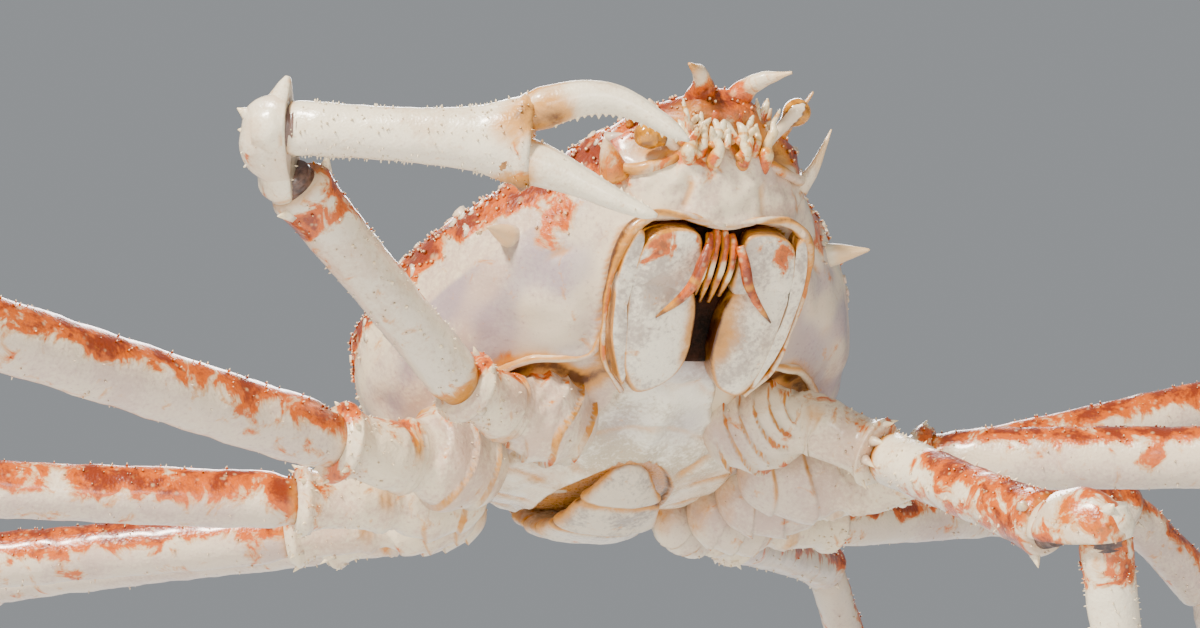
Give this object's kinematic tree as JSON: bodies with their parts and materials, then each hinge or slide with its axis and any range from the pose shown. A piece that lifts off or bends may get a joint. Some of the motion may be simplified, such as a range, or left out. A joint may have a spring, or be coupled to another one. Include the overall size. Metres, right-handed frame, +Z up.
{
  "type": "japanese spider crab",
  "caption": "Still life-size model of a japanese spider crab standing on its leg tips, nose up, its right claw folded to the mouth, its left claw hanging.",
  "frame": {"origin": "on the floor, under the middle of the whole crab's box", "axes": "+X to the crab's own left, -Y the way it faces, +Z up"},
  "size_m": [1.0446, 0.6872, 0.4282],
  "materials": {
    "carapace_shell": "satin rough shell, rust orange with pale knobs",
    "underside_shell": "satin cream shell",
    "base_shell": "satin cream shell with ring folds",
    "leg_shell": "satin shell, orange blotches on cream",
    "claw_shell": "satin cream shell with fine grains",
    "jaw_legs": "satin cream shell, orange palps",
    "feelers": "satin cream",
    "eyes": "glossy golden brown"
  },
  "bodies": {
    "root": {"carapace": "carapace_shell", "sternum": "underside_shell", "abdomen": "underside_shell", "eye_right": "eyes", "feelers_right": "feelers", "jaw_leg_right": "jaw_legs", "eye_left": "eyes", "feelers_left": "feelers", "jaw_leg_left": "jaw_legs", "claw_right_base": "claw_shell", "claw_right_merus": "claw_shell", "claw_right_wrist": "claw_shell", "claw_right_palm": "claw_shell", "claw_right_finger": "claw_shell", "claw_left_base": "claw_shell", "claw_left_merus": "claw_shell", "claw_left_wrist": "claw_shell", "claw_left_palm": "claw_shell", "claw_left_finger": "claw_shell", "leg_1_right_base": "base_shell", "leg_1_right_merus": "leg_shell", "leg_1_right_carpus": "leg_shell", "leg_1_right_propodus": "leg_shell", "leg_1_right_dactyl": "leg_shell", "leg_1_left_base": "base_shell", "leg_1_left_merus": "leg_shell", "leg_1_left_carpus": "leg_shell", "leg_1_left_propodus": "leg_shell", "leg_1_left_dactyl": "leg_shell", "leg_2_right_base": "base_shell", "leg_2_right_merus": "leg_shell", "leg_2_right_carpus": "leg_shell", "leg_2_right_propodus": "leg_shell", "leg_2_right_dactyl": "leg_shell", "leg_2_left_base": "base_shell", "leg_2_left_merus": "leg_shell", "leg_2_left_carpus": "leg_shell", "leg_2_left_propodus": "leg_shell", "leg_2_left_dactyl": "leg_shell", "leg_3_right_base": "base_shell", "leg_3_right_merus": "leg_shell", "leg_3_right_carpus": "leg_shell", "leg_3_right_propodus": "leg_shell", "leg_3_right_dactyl": "leg_shell", "leg_3_left_base": "base_shell", "leg_3_left_merus": "leg_shell", "leg_3_left_carpus": "leg_shell", "leg_3_left_propodus": "leg_shell", "leg_3_left_dactyl": "leg_shell", "leg_4_right_base": "base_shell", "leg_4_right_merus": "leg_shell", "leg_4_right_carpus": "leg_shell", "leg_4_right_propodus": "leg_shell", "leg_4_right_dactyl": "leg_shell", "leg_4_left_base": "base_shell", "leg_4_left_merus": "leg_shell", "leg_4_left_carpus": "leg_shell", "leg_4_left_propodus": "leg_shell", "leg_4_left_dactyl": "leg_shell"}
  },
  "joints": []
}
